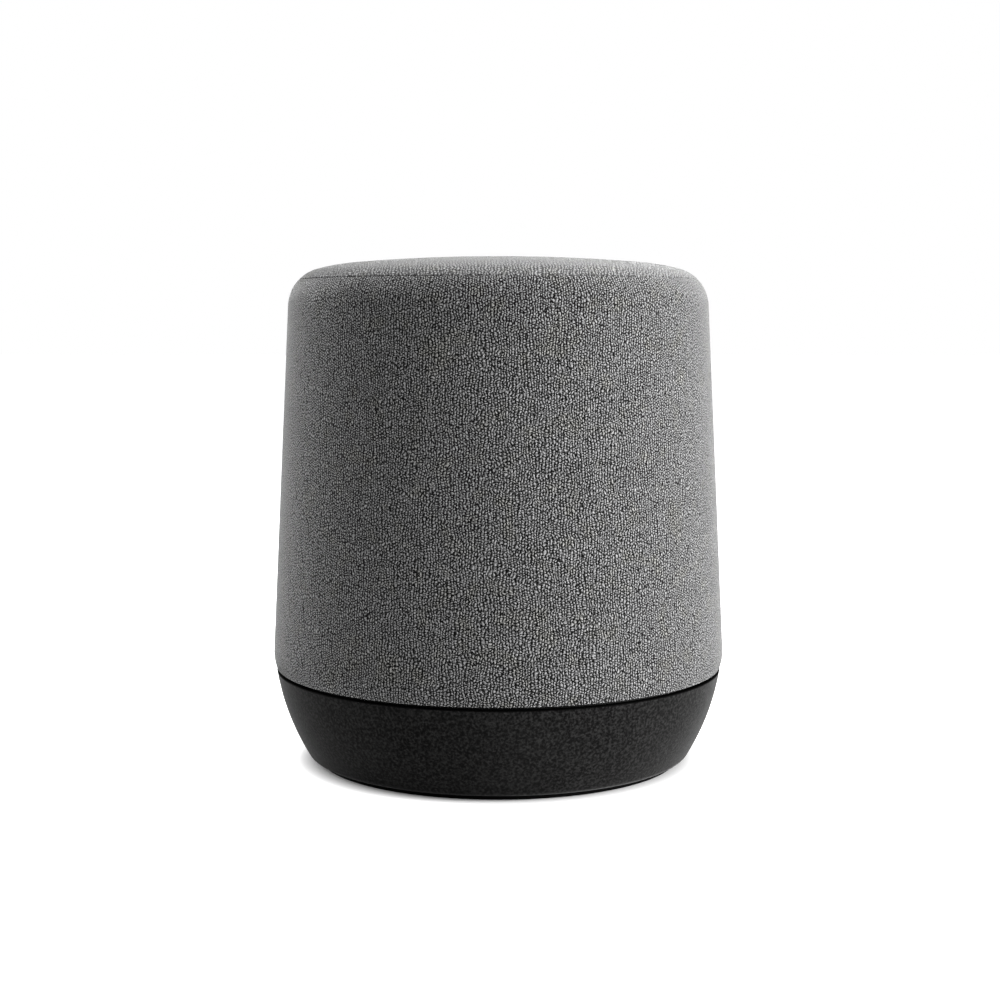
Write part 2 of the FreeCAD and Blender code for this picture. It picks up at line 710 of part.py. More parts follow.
def enclosure_lower():
    """Lower half of the sealed box, with a flat and an opening on each side."""
    outer = enclosure_body(enclosure_radius, flat_x, chassis_top, split_z)
    inner = enclosure_body(enclosure_radius - enclosure_wall, flat_x - enclosure_wall,
                           enclosure_floor, split_z)
    boss_low = split_z - enclosure_thread - 4.0
    adds = [cylinder(enclosure_boss_radius, boss_low, split_z, x, y).common(outer)
            for x, y in polar(4, enclosure_screw_circle, 45.0)]
    adds += [cylinder(4.0, chassis_top, chassis_top + chassis_screw_length - chassis_plate + 1.0, x, y)
             for x, y in polar(4, chassis_screw_circle, chassis_screw_angle)]
    shell = fuse([outer.cut(inner)] + adds)
    cuts = [passive_opening(1), passive_opening(-1)]
    cuts.append(cylinder(lead_passage + 0.1, 0, enclosure_floor, 0, lead_y))
    for x, y in polar(4, enclosure_screw_circle, 45.0):
        cuts.append(cylinder(m3["shank"] + screw_gap, baffle_top - enclosure_screw_length, split_z, x, y))
    for x, y in polar(4, chassis_screw_circle, chassis_screw_angle):
        cuts.append(cylinder(m3["shank"] + screw_gap, 0, chassis_bottom + chassis_screw_length, x, y))
    for sign in (1, -1):
        for u, v in passive_screw_points():
            hole = Part.makeCylinder(passive_shank + screw_gap, enclosure_wall, Vector(), Vector(1, 0, 0))
            hole.translate(Vector(flat_x - enclosure_wall, u, passive_z + v))
            cuts.append(hole if sign > 0 else hole.mirror(Vector(0, 0, 0), Vector(1, 0, 0)))
    return shell.cut(Part.makeCompound(cuts))


def enclosure_rim(radius, half_flat, z0, z1):
    return enclosure_body(radius, half_flat, z0, z1).cut(
        enclosure_body(radius - enclosure_wall, half_flat - enclosure_wall, z0, z1))


def enclosure_gasket():
    """Soft seal between the two halves."""
    top = split_z + enclosure_gasket_thick
    ring = enclosure_rim(enclosure_radius - 0.2, flat_x - 0.2, split_z, top)
    cuts = [cylinder(m3["shank"] + 0.3, split_z, top, x, y)
            for x, y in polar(4, enclosure_screw_circle, 45.0)]
    return ring.cut(Part.makeCompound(cuts))


driver_screw_circle = flange_radius - 2.6
driver_opening = cone_radius + 4.0
pillar_angle = 0.0


def enclosure_upper():
    """Upper half of the sealed box; its top is the baffle."""
    low = split_z + enclosure_gasket_thick
    outer = enclosure_body(enclosure_radius, flat_x, low, baffle_top)
    crown = cylinder(enclosure_radius, baffle_top - baffle, baffle_top)
    inner = enclosure_body(enclosure_radius - enclosure_wall, flat_x - enclosure_wall,
                           low, baffle_top - baffle)
    whole = fuse([outer, crown])
    adds = [cylinder(enclosure_boss_radius, low, baffle_top, x, y).common(outer)
            for x, y in polar(4, enclosure_screw_circle, 45.0)]
    adds += [cylinder(3.4, baffle_top - deflector_screw_depth - 1.5, baffle_top, x, y).common(whole)
             for x, y in polar(4, pillar_circle, pillar_angle)]
    adds += [cylinder(3.2, baffle_top - driver_screw_length, baffle_top, x, y)
             for x, y in polar(4, driver_screw_circle, 22.5)]
    shell = fuse([whole.cut(inner)] + adds)
    cuts = [cylinder(driver_opening, low, baffle_top)]
    for x, y in polar(4, enclosure_screw_circle, 45.0):
        cuts.append(cylinder(m3["shank"] + screw_gap, low, baffle_top, x, y))
    for x, y in polar(4, pillar_circle, pillar_angle):
        cuts.append(cylinder(m3["shank"] + screw_gap, baffle_top - deflector_screw_depth, baffle_top, x, y))
    for x, y in polar(4, driver_screw_circle, 22.5):
        cuts.append(cylinder(m2["shank"] + screw_gap, baffle_top - driver_screw_length, baffle_top, x, y))
    return shell.cut(Part.makeCompound(cuts))


def enclosure_screws():
    return [screw_down(x, y, baffle_top, enclosure_screw_length, **m3)
            for x, y in polar(4, enclosure_screw_circle, 45.0)]


def lead_grommet():
    """Soft plug that seals the two driver leads through the enclosure's floor."""
    plug = cylinder(lead_passage, chassis_bottom, enclosure_floor, 0, lead_y)
    head = cylinder(lead_passage + 1.2, enclosure_floor, enclosure_floor + 1.2, 0, lead_y)
    holes = [cylinder(lead_radius + screw_gap, chassis_bottom, enclosure_floor + 1.2, x, lead_y)
             for x in (-lead_pitch / 2, lead_pitch / 2)]
    return plug.fuse(head).cut(Part.makeCompound(holes))


# ---------------------------------------------------------------- driver
driver_gasket_thick = 0.8
magnet_clearance = 5.5     # under the coil at the bottom of its travel
flange_low = baffle_top + driver_gasket_thick
flange_thick = 2.2
ledge_top = flange_low + 0.4
basket_wall = 1.5
cage_inner = cone_radius + 1.4
cage_low = flange_low - 10.0
magnet_radius = cone_radius - 7.0
cage_foot = cage_low - 11.0
basket_floor = cage_foot - basket_wall
top_plate_thick = 4.0
winding_height = 9.0
magnet_thick = (winding_height - top_plate_thick) / 2 + cone_travel + magnet_clearance
yoke_thick = 6.0
top_plate_low = basket_floor - top_plate_thick
magnet_low = top_plate_low - magnet_thick
pole_radius = 9.8
former_inner = pole_radius + 0.5
former_wall = 0.5
winding_wall = 1.1
gap_radius = former_inner + former_wall + winding_wall + 0.6
cone_wall = 0.7
cone_foot = cage_foot + 4.6
cap_radius = 13.5
spider_shelf = cage_foot + 2.2
roll_wall = 0.6


def roll_section(inner, outer, base):
    """Half-roll suspension between two flat landings, as a section."""
    middle = (inner[1] + outer[0]) / 2
    inside = (outer[0] - inner[1]) / 2
    outside = inside + roll_wall
    meet = math.degrees(math.asin(roll_wall / outside))
    centre = (middle, base)
    left = section_point(centre, outside, 180 - meet)
    right = section_point(centre, outside, meet)
    lower = [outline_line((inner[0], base), (inner[1], base)),
             arc(centre, inside, 180.0, 0.0),
             outline_line((outer[0], base), (outer[1], base))]
    upper = [outline_line((inner[0], base + roll_wall), (left.x, left.z)),
             arc(centre, outside, 180.0 - meet, meet),
             outline_line((right.x, right.z), (outer[1], base + roll_wall))]
    sides = [outline_line((inner[0], base), (inner[0], base + roll_wall)),
             outline_line((outer[1], base), (outer[1], base + roll_wall))]
    return revolve(lower + upper + sides)


def driver_gasket():
    ring = tube(driver_opening + 0.2, flange_radius - 0.2, baffle_top, flange_low)
    holes = [cylinder(m2["shank"] + 0.3, baffle_top, flange_low, x, y)
             for x, y in polar(4, driver_screw_circle, 22.5)]
    return ring.cut(Part.makeCompound(holes))


def driver_basket():
    """Pressed frame: flange, ledge for the surround, six windows, shelf for the spider."""
    cage_outer = cage_inner + basket_wall
    foot_radius = magnet_radius
    ledge_outer = cage_inner + 4.6
    section = [(gap_radius + 0.3, basket_floor), (foot_radius, basket_floor), (foot_radius, cage_foot + 1.0),
               (cage_outer, cage_low), (cage_outer, flange_low), (flange_radius, flange_low),
               (flange_radius, flange_low + flange_thick), (ledge_outer, flange_low + flange_thick),
               (ledge_outer, ledge_top), (cage_inner, ledge_top), (cage_inner, cage_low),
               (foot_radius - basket_wall, cage_foot + 2.2), (foot_radius - 6.5, cage_foot + 2.2),
               (foot_radius - 6.5, cage_foot), (gap_radius + 0.3, cage_foot)]
    frame = turned(section)
    window = block(foot_radius - 3.0, flange_radius, -7.0, 7.0, cage_foot + 3.6, cage_low - 0.5)
    cuts = [window.copy().rotate(Vector(0, 0, 0), Vector(0, 0, 1), 60.0 * i + 30.0) for i in range(6)]
    cuts += [cylinder(m2["shank"] + screw_gap, flange_low, height, x, y)
             for x, y in polar(4, driver_screw_circle, 22.5)]
    return frame.cut(Part.makeCompound(cuts))


def top_plate():
    return tube(gap_radius, magnet_radius - 1.0, top_plate_low, basket_floor)


def magnet():
    return tube(gap_radius + 3.0, magnet_radius, magnet_low, top_plate_low)


def yoke():
    """Back plate with the pole that stands through the voice coil."""
    plate = cylinder(magnet_radius - 1.0, magnet_low - yoke_thick, magnet_low)
    return plate.fuse(cylinder(pole_radius, magnet_low - 1.0, basket_floor)).cut(
        cylinder(3.0, magnet_low - yoke_thick, basket_floor))


gap_middle = top_plate_low + top_plate_thick / 2
winding_low = gap_middle - winding_height / 2
former_outer = former_inner + former_wall
cone_rim_z = ledge_top - cone_wall


def coil_former():
    return tube(former_inner, former_outer, winding_low, cone_foot)


def coil_winding():
    return tube(former_outer, former_outer + winding_wall, winding_low, winding_low + winding_height)


def driver_cone():
    """Paper cone with a flat rim for the surround and a neck round the former."""
    rim_inner = cone_radius - 1.8
    neck = former_outer + cone_wall
    section = [(former_outer, cone_foot - 1.6), (neck, cone_foot - 1.6), (neck, cone_foot - 0.4),
               (rim_inner, cone_rim_z), (cone_radius, cone_rim_z), (cone_radius, cone_rim_z + cone_wall),
               (rim_inner - 0.4, cone_rim_z + cone_wall), (former_outer, cone_foot + 0.6)]
    return turned(section)


def cone_height(radius):
    """Height of the cone's upper face at a radius."""
    rim_inner = cone_radius - 2.2
    share = (radius - former_outer) / (rim_inner - former_outer)
    return cone_foot + 0.6 + share * (cone_rim_z + cone_wall - cone_foot - 0.6)


def dust_cap():
    """Dome glued over the coil."""
    foot = cone_height(cap_radius)
    rise = 4.0
    ball = (cap_radius ** 2 + rise ** 2) / (2 * rise)
    start = math.degrees(math.acos(cap_radius / ball))
    centre = (0.0, foot - ball * math.sin(math.radians(start)))
    outer = [arc(centre, ball, start, 90.0)]
    inner_start = math.degrees(math.asin((foot - centre[1]) / (ball - cone_wall)))
    inner = [arc(centre, ball - cone_wall, inner_start, 90.0)]
    return between(outer, inner)


def driver_surround():
    """Rubber half-roll from the cone's rim to the basket's ledge."""
    on_cone = (cone_radius - 1.7, cone_radius + 0.2)
    on_ledge = (cage_inner + 2.4, cage_inner + 4.3)
    return roll_section(on_cone, on_ledge, ledge_top)


def driver_spider():
    """Corrugated disc that centres the coil."""
    inner = former_outer
    outer = magnet_radius - 3.0
    waves = 4
    pitch = (outer - 3.0 - inner - 1.0) / (2 * waves)
    ridge = 0.9
    top = [(inner, 0.0), (inner + 1.0, 0.0)]
    for i in range(2 * waves):
        top.append((inner + 1.0 + (i + 0.5) * pitch, ridge if i % 2 == 0 else 0.0))
    top.append((outer - 3.0, 0.0))
    top.append((outer, 0.0))
    wall = 0.5
    lower = [(r, spider_shelf + z) for r, z in top]
    upper = [(r, spider_shelf + z + wall) for r, z in reversed(top)]
    return turned(lower + upper)


def driver_screws():
    return [screw_down(x, y, flange_low + flange_thick, driver_screw_length, **m2)
            for x, y in polar(4, driver_screw_circle, 22.5)]


terminal_z = cage_foot + 1.0


def driver_terminals():
    """Terminal block on the basket's front, above the leads."""
    body = block(-lead_pitch / 2 - 2.0, lead_pitch / 2 + 2.0, lead_y - 1.8, -(magnet_radius - 2.5),
                 basket_floor, terminal_z)
    return body.cut(driver_basket())


def driver_leads():
    return [cylinder(lead_radius, main_board_z + board + 3.0, basket_floor, x, lead_y)
            for x in (-lead_pitch / 2, lead_pitch / 2)]


# ---------------------------------------------------------------- passive radiators
passive_ledge = 1.2
passive_frame_thick = 2.5


def onto_flat(shape, sign):
    """Puts a piece made about the Z axis onto the enclosure's flat, facing out along X."""
    placed = shape.copy()
    placed.rotate(Vector(0, 0, 0), Vector(0, 1, 0), 90.0)
    placed.translate(Vector(flat_x, 0, passive_z))
    return placed if sign > 0 else placed.mirror(Vector(0, 0, 0), Vector(1, 0, 0))


def passive_frame(sign):
    inner = passive_radius - 5.5
    section = [(inner, 0.0), (passive_radius, 0.0), (passive_radius, passive_frame_thick),
               (passive_radius - 3.2, passive_frame_thick), (passive_radius - 3.2, passive_ledge),
               (inner, passive_ledge)]
    ring = turned(section)
    holes = [cylinder(passive_shank + screw_gap, 0, passive_frame_thick, x, y)
             for x, y in passive_screw_points()]
    return onto_flat(ring.cut(Part.makeCompound(holes)), sign)


def passive_surround(sign):
    outer = passive_radius - 3.4
    return onto_flat(roll_section((outer - 7.8, outer - 5.4), (outer - 1.8, outer), passive_ledge), sign)


def passive_plate(sign):
    """Stiff disc with its tuning weight."""
    radius = passive_radius - 9.2
    disc = cylinder(radius, 0, passive_ledge)
    weight = cylinder(radius - 6.0, -3.0, 0.5)
    return onto_flat(fuse([disc, weight]), sign)


def passive_screws():
    pieces = []
    for sign in (1, -1):
        for x, y in passive_screw_points():
            one = screw_down(x, y, passive_frame_thick, passive_screw_length, passive_shank, 1.2, 0.9)
            pieces.append(onto_flat(one, sign))
    return pieces


# ---------------------------------------------------------------- deflector and top board
def deflector():
    """Downward cone that turns the driver's sound out all round, on four pillars."""
    rim = deflector_radius
    shoulder = rim - 12.0
    drop = 15.5
    tip_low = (0.0, deflector_bottom - drop)
    bend = (shoulder * 0.45, deflector_bottom - drop * 0.62)

    def face(lift):
        return Part.Arc(Vector(tip_low[0], 0, tip_low[1] + lift), Vector(bend[0], 0, bend[1] + lift),
                        Vector(shoulder, 0, deflector_bottom + lift)).toShape()
    edges = [face(0.0), face(deflector_plate)]
    edges += polyline([(shoulder, deflector_bottom), (rim, deflector_bottom), (rim, deflector_top),
                       (shoulder, deflector_top)])
    edges += polyline([tip_low, (0.0, tip_low[1] + deflector_plate)])
    body = revolve(edges)
    pillars = [cylinder(pillar_radius, baffle_top, deflector_bottom + 1.0, x, y)
               for x, y in polar(4, pillar_circle, pillar_angle)]
    body = fuse([body] + pillars)
    cuts = [cylinder(m3["shank"] + screw_gap, baffle_top, deflector_top, x, y)
            for x, y in polar(4, pillar_circle, pillar_angle)]
    cuts += [cylinder(spigot_radius + 0.1, deflector_bottom, deflector_top, x, y)
             for x, y in polar(4, top_post_circle, 45.0)]
    return body.cut(Part.makeCompound(cuts))


def deflector_screws():
    length = deflector_top - baffle_top + deflector_screw_depth
    return [screw_down(x, y, deflector_top, length, **m3) for x, y in polar(4, pillar_circle, pillar_angle)]


top_board_radius = led_circle + 6.0
top_plug_y = top_board_radius - 4.0


def top_board():
    disc = cylinder(top_board_radius, top_board_bottom, top_board_top)
    holes = [cylinder(m2["shank"] + screw_gap, top_board_bottom, top_board_top, x, y)
             for x, y in polar(4, board_boss_circle)]
    return disc.cut(Part.makeCompound(holes))


mic_height = 1.1
led_height = 1.0


def microphones():
    return [block(x - 1.75, x + 1.75, y - 1.75, y + 1.75, top_board_top, top_board_top + mic_height)
            for x, y in polar(mic_count, mic_circle, 45.0)]


def mic_gaskets():
    return [tube(0.8, 2.4, top_board_top + mic_height, mic_boss_foot, x, y)
            for x, y in polar(mic_count, mic_circle, 45.0)]


def leds():
    return [block(x - 1.5, x + 1.5, y - 1.5, y + 1.5, top_board_top, top_board_top + led_height)
            for x, y in polar(led_count, led_circle)]


def light_guide():
    """Clear ring with one pin up through the frame above each light."""
    low = top_board_top + led_height + 0.2
    ring = tube(led_circle - 2.5, led_circle + 2.5, low, low + 1.8)
    pins = [cylinder(light_pin_radius, low, height, x, y) for x, y in polar(led_count, led_circle)]
    return fuse([ring] + [pin.common(under_surface(frame_inset + 0.1)) for pin in pins])


# ---------------------------------------------------------------- write the pieces
makers = [fabric_sleeve, fabric_top, grille_frame, top_frame, base_shell, foot_ring, base_screws, port_panel,
          io_board, board_screws, power_jack, mute_knob, mute_switch, pairing_button, tact_switch,
          port_ribbon, chassis, chassis_screws, main_board, shield_can, heat_sink, filter_capacitors,
          output_inductors, board_connectors,
          ribbon_cable, wifi_antennas, enclosure_lower, enclosure_upper, enclosure_gasket, enclosure_screws,
          lead_grommet, driver_leads, driver_basket, driver_gasket, driver_screws, driver_terminals,
          driver_cone, dust_cap, coil_former, coil_winding, driver_surround, driver_spider, top_plate,
          magnet, yoke, passive_screws, deflector, deflector_screws, top_board, microphones,
          mic_gaskets, leds, light_guide]

os.makedirs("parts", exist_ok=True)


def write(name, made):
    shape = Part.makeCompound(made) if isinstance(made, list) else made
    if not shape.isValid() or not shape.Solids:
        print("check", name, shape.isValid(), len(shape.Solids))
    shape.exportStep("parts/" + name + ".step")


for maker in makers:
    write(maker.__name__, maker())
for side, sign in (("right", 1), ("left", -1)):
    write("passive_frame_" + side, passive_frame(sign))
    write("passive_surround_" + side, passive_surround(sign))
    write("passive_plate_" + side, passive_plate(sign))
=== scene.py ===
import json
import math

import bmesh
import bpy
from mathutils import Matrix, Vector


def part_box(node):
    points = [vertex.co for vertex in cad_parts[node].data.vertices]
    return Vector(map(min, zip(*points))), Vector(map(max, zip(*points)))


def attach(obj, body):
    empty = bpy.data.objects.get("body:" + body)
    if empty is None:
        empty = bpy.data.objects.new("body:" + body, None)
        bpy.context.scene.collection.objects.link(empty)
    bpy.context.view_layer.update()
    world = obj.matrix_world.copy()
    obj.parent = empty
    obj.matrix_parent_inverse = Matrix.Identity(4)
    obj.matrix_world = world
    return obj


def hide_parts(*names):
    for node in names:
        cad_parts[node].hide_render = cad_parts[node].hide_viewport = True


# Round fabric-covered smart speaker, in metres, +Z up, front towards -Y, ports at the rear.

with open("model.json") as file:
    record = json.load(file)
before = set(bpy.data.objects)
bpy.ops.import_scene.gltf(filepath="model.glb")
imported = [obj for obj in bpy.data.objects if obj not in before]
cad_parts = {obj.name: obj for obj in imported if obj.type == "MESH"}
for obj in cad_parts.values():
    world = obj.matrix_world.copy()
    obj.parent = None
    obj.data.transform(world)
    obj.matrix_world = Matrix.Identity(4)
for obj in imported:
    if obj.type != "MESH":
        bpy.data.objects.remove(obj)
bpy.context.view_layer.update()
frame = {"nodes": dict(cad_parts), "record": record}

# ---------------------------------------------------------------- sizes of the covers
sleeve_low, sleeve_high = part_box("fabric_sleeve")
widest = sleeve_high.x
hem_z = sleeve_low.z
crown_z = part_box("fabric_top")[1].z
lean = 2.95                # degrees that the side leans in
hem_turn = 0.014           # rounding that turns the fabric in above its hem
hem_rise = 0.0055
hem_corner = 0.0004        # rounding of the hem's lower edge
hem_fold = 0.00245         # how far in the hem's inner edge stands from the side
hem_fold_rise = 0.0014     # how far up the hem's inner edge goes
shoulder = 0.012           # rounding between side and crown
shoulder_end = 75.0        # degrees where the shoulder ends and the crown's edge starts
crown_edge = 0.060         # rounding of the crown's edge
crown_edge_end = 85.0
seam_angle = 45.0
seam_half = 1.6            # degrees of the shoulder from the seam to either cloth edge
seam_foot = 0.4            # the same at the bottom of the seam
seam_curl = 0.00030        # rounding of the cloth's edge where it goes down into the seam
seam_curl_turn = 100       # degrees that this edge turns
seam_depth = 0.0011
cloth_thick = 0.0008
around = 288               # steps of every turned cover

knit_column = 2 * math.pi * widest / 496
knit_row = 0.00085
knit_wander = 0.0075       # patches over which columns and rows lean to and fro
knit_jitter = 0.0015       # the same from loop to loop
knit_fibre = 0.00036       # light and dark fibres within a loop
knit_tint = 0.006          # patches of warmer yarn
loop_height = 0.0003


def polar(centre, radius, degrees):
    turn = math.radians(degrees)
    return centre[0] + radius * math.cos(turn), centre[1] + radius * math.sin(turn)


side_lean = math.radians(lean)
hem_centre = (widest - hem_turn, hem_z + hem_rise - hem_turn * math.sin(side_lean))
side_foot = polar(hem_centre, hem_turn, lean)


def side_radius(z):
    return side_foot[0] - (z - side_foot[1]) * math.tan(side_lean)


def crown_for(centre):
    """Centre of the crown's edge rounding, the crown's radius, and the height of its middle."""
    start = polar(centre, shoulder, shoulder_end)
    edge = polar(start, -crown_edge, shoulder_end)
    end = polar(edge, crown_edge, crown_edge_end)
    radius = end[0] / math.cos(math.radians(crown_edge_end))
    rise = radius - (radius * math.sin(math.radians(crown_edge_end)))
    return edge, radius, end[1] + rise


def shoulder_place():
    """Centre of the shoulder's rounding, so that the crown's middle comes to its height."""
    low, high = 0.5 * crown_z, crown_z
    for _ in range(60):
        z = 0.5 * (low + high)
        x = side_radius(z + shoulder * math.sin(side_lean)) - shoulder * math.cos(side_lean)
        if crown_for((x, z))[2] > crown_z:
            high = z
        else:
            low = z
    return x, z


shoulder_centre = shoulder_place()
crown_edge_centre, crown_radius, crown_middle = crown_for(shoulder_centre)


# ---------------------------------------------------------------- turned covers
class Outline:
    """A section in the XZ plane, drawn on from its tip and then turned about Z."""

    def __init__(self, x, z):
        self.mesh = bmesh.new()
        self.length = self.mesh.verts.layers.float.new("along")
        self.tip = self.mesh.verts.new((x, 0, z))

    def reach(self, vert):
        vert[self.length] = self.tip[self.length] + (vert.co - self.tip.co).length
        self.tip = vert

    def line(self, x, z, steps=1):
        step = (Vector((x, 0, z)) - self.tip.co) / steps
        for _ in range(steps):
            made = bmesh.ops.extrude_vert_indiv(self.mesh, verts=[self.tip])["verts"][0]
            made.co += step
            self.reach(made)

    def bend(self, centre, degrees, steps):
        for _ in range(steps):
            made = bmesh.ops.spin(
                self.mesh, geom=[self.tip], cent=(centre[0], 0, centre[1]), axis=(0, -1, 0),
                angle=math.radians(degrees / steps), steps=1)["geom_last"]
            self.reach(next(part for part in made if isinstance(part, bmesh.types.BMVert)))

    def turn(self):
        """The section turned once round, closed where it started, with its pole merged and smooth faces."""
        mesh = self.mesh
        bmesh.ops.spin(
            mesh, geom=mesh.verts[:] + mesh.edges[:], cent=(0, 0, 0), axis=(0, 0, 1),
            angle=2 * math.pi, steps=around, use_merge=True)
        bmesh.ops.remove_doubles(mesh, verts=mesh.verts[:], dist=1e-6)
        for face in mesh.faces:
            face.smooth = True
        return mesh


def to_object(mesh, name, outwards):
    """One cloth piece, facing outwards, with its thickness on the inside."""
    mesh.normal_update()
    outermost = max(mesh.faces, key=lambda face: face.calc_center_median().dot(Vector(outwards)))
    if outermost.normal.dot(Vector(outwards)) < 0:
        bmesh.ops.reverse_faces(mesh, faces=mesh.faces[:])
    data = bpy.data.meshes.new(name)
    mesh.to_mesh(data)
    mesh.free()
    made = bpy.data.objects.new(name, data)
    bpy.context.scene.collection.objects.link(made)
    wall = made.modifiers.new("thickness", "SOLIDIFY")
    wall.thickness = cloth_thick
    wall.offset = -1.0
    wall.use_even_offset = True
    return made


def side_cloth():
    """Knitted sleeve: turned-in hem, leaning side, shoulder, and the edge that goes down into the seam."""
    inner = side_radius(hem_z + hem_rise) - hem_fold
    hem_start = math.degrees(math.asin((hem_z + hem_corner - hem_centre[1]) / (hem_turn - hem_corner)))
    outer = polar(hem_centre, hem_turn - hem_corner, hem_start)
    drawn = Outline(inner, hem_z + hem_fold_rise)
    drawn.line(inner, hem_z + hem_corner, 2)
    drawn.bend((inner + hem_corner, hem_z + hem_corner), 90, 5)
    drawn.line(outer[0], hem_z, 3)
    drawn.bend(outer, 90 + hem_start, 5)
    drawn.bend(hem_centre, lean - hem_start, 12)
    side_top = polar(shoulder_centre, shoulder, lean)
    drawn.line(side_top[0], side_top[1], 40)
    edge_angle = seam_angle - seam_half
    drawn.bend(shoulder_centre, edge_angle - lean, 14)
    drawn.bend(polar(shoulder_centre, shoulder - seam_curl, edge_angle), seam_curl_turn, 6)
    drawn.line(*polar(shoulder_centre, shoulder - seam_depth, seam_angle - seam_foot), 2)
    mesh = drawn.turn()
    cut = mesh.loops.layers.uv.new("cut")
    for face in mesh.faces:
        middle = face.calc_center_median()
        mid_turn = math.atan2(middle.y, middle.x) % (2 * math.pi)
        for corner in face.loops:
            turn = math.atan2(corner.vert.co.y, corner.vert.co.x) % (2 * math.pi)
            if turn - mid_turn > math.pi:
                turn -= 2 * math.pi
            elif mid_turn - turn > math.pi:
                turn += 2 * math.pi
            corner[cut].uv = (turn * widest, corner.vert[drawn.length])
    return to_object(mesh, "side_cloth", (1, 0, 0))


def top_cloth():
    """Round knitted top, from the edge that goes down into the seam to the middle of the crown."""
    edge_angle = seam_angle + seam_half
    edge = polar(shoulder_centre, shoulder - seam_curl, edge_angle)
    drawn = Outline(*polar(shoulder_centre, shoulder - seam_depth, seam_angle + seam_foot))
    drawn.line(*polar(edge, seam_curl, edge_angle - seam_curl_turn), 2)
    drawn.bend(edge, seam_curl_turn, 6)
    drawn.bend(shoulder_centre, shoulder_end - edge_angle, 10)
    drawn.bend(crown_edge_centre, crown_edge_end - shoulder_end, 12)
    drawn.bend((0, crown_middle - crown_radius), 90 - crown_edge_end, 40)
    mesh = drawn.turn()
    cut = mesh.loops.layers.uv.new("cut")
    for face in mesh.faces:
        for corner in face.loops:
            corner[cut].uv = corner.vert.co.xy
    return to_object(mesh, "top_cloth", (0, 0, 1))


# ---------------------------------------------------------------- materials
black = (0.0, 0.0, 0.0)
white = (1.0, 1.0, 1.0)


class Amount:
    """A number that changes over a surface, joined to others with ordinary arithmetic."""

    def __init__(self, nodes, socket):
        self.nodes = nodes
        self.socket = socket

    def __add__(self, other):
        return self.nodes.maths("ADD", self, other)

    __radd__ = __add__

    def __sub__(self, other):
        return self.nodes.maths("SUBTRACT", self, other)

    def __rsub__(self, other):
        return self.nodes.maths("SUBTRACT", other, self)

    def __mul__(self, other):
        return self.nodes.maths("MULTIPLY", self, other)

    __rmul__ = __mul__

    def __truediv__(self, other):
        return self.nodes.maths("DIVIDE", self, other)

    def __pow__(self, other):
        return self.nodes.maths("POWER", self, other)


class Nodes:
    """The shader nodes of one finish, of the floor or of the world."""

    def __init__(self, tree):
        self.tree = tree

    def node(self, kind, settings=None, values=None, output=0):
        made = self.tree.nodes.new(kind)
        for key, value in (settings or {}).items():
            if key == "stops":
                stops = made.color_ramp.elements
                while len(stops) < len(value):
                    stops.new(0.5)
                for stop, (position, colour) in zip(stops, value):
                    stop.position = position
                    stop.color = (*colour, 1.0)
            else:
                setattr(made, key, value)
        for key, value in (values or {}).items():
            self.feed(made.inputs[key], value)
        return Amount(self, made.outputs[output])

    def feed(self, socket, value):
        if isinstance(value, Amount):
            self.tree.links.new(value.socket, socket)
        elif isinstance(value, tuple) and len(value) == 3 and socket.type == "RGBA":
            socket.default_value = (*value, 1.0)
        else:
            socket.default_value = value

    def maths(self, operation, first, second=0.0):
        return self.node("ShaderNodeMath", {"operation": operation}, {0: first, 1: second})


class Finish(Nodes):
    """One material, with its colour, sheen and grain built up from nodes."""

    def __init__(self, name, **constants):
        self.material = bpy.data.materials.new(name)
        self.material.use_nodes = True
        super().__init__(self.material.node_tree)
        self.shader = self.tree.nodes["Principled BSDF"]
        for socket, value in constants.items():
            self.shader.inputs[socket.replace("_", " ").title().replace("Ior", "IOR")].default_value = value

    def place(self):
        return self.node("ShaderNodeTexCoord", output="Object")

    def parts(self, vector):
        split = self.node("ShaderNodeSeparateXYZ", values={0: vector})
        return [Amount(self, socket) for socket in split.socket.node.outputs]

    def join(self, x, y, z=0.0):
        return self.node("ShaderNodeCombineXYZ", values={0: x, 1: y, 2: z})

    def noise(self, place, size, detail=2.0, roughness=0.5):
        """Soft random patches about size metres across, from 0 to 1."""
        return self.node("ShaderNodeTexNoise", values={
            "Vector": place, "Scale": 1.0 / size, "Detail": detail, "Roughness": roughness})

    def shifts(self, place, size, detail):
        """Two unlinked amounts between -0.5 and 0.5, to push a pattern about sideways and along."""
        pushed = self.node("ShaderNodeTexNoise", values={
            "Vector": place, "Scale": 1 / size, "Detail": detail}, output=1)
        x, y, _ = self.parts(pushed)
        return x - 0.5, y - 0.5

    def ramp(self, amount, *stops):
        return self.node("ShaderNodeValToRGB", {"stops": stops}, {0: amount})

    def mix(self, amount, first, second):
        return self.node("ShaderNodeMix", {"data_type": "RGBA"}, {0: amount, 6: first, 7: second}, output=2)

    def wave(self, amount):
        """0 to 1 and back for each whole step of amount, with 1 at the whole numbers."""
        return self.maths("COSINE", amount * (2 * math.pi)) * 0.5 + 0.5

    def colour(self, value):
        self.feed(self.shader.inputs["Base Color"], value)

    def rough(self, value):
        self.feed(self.shader.inputs["Roughness"], value)

    def relief(self, height, depth, strength=1.0):
        bump = self.node("ShaderNodeBump", values={"Height": height, "Distance": depth, "Strength": strength})
        self.feed(self.shader.inputs["Normal"], bump)


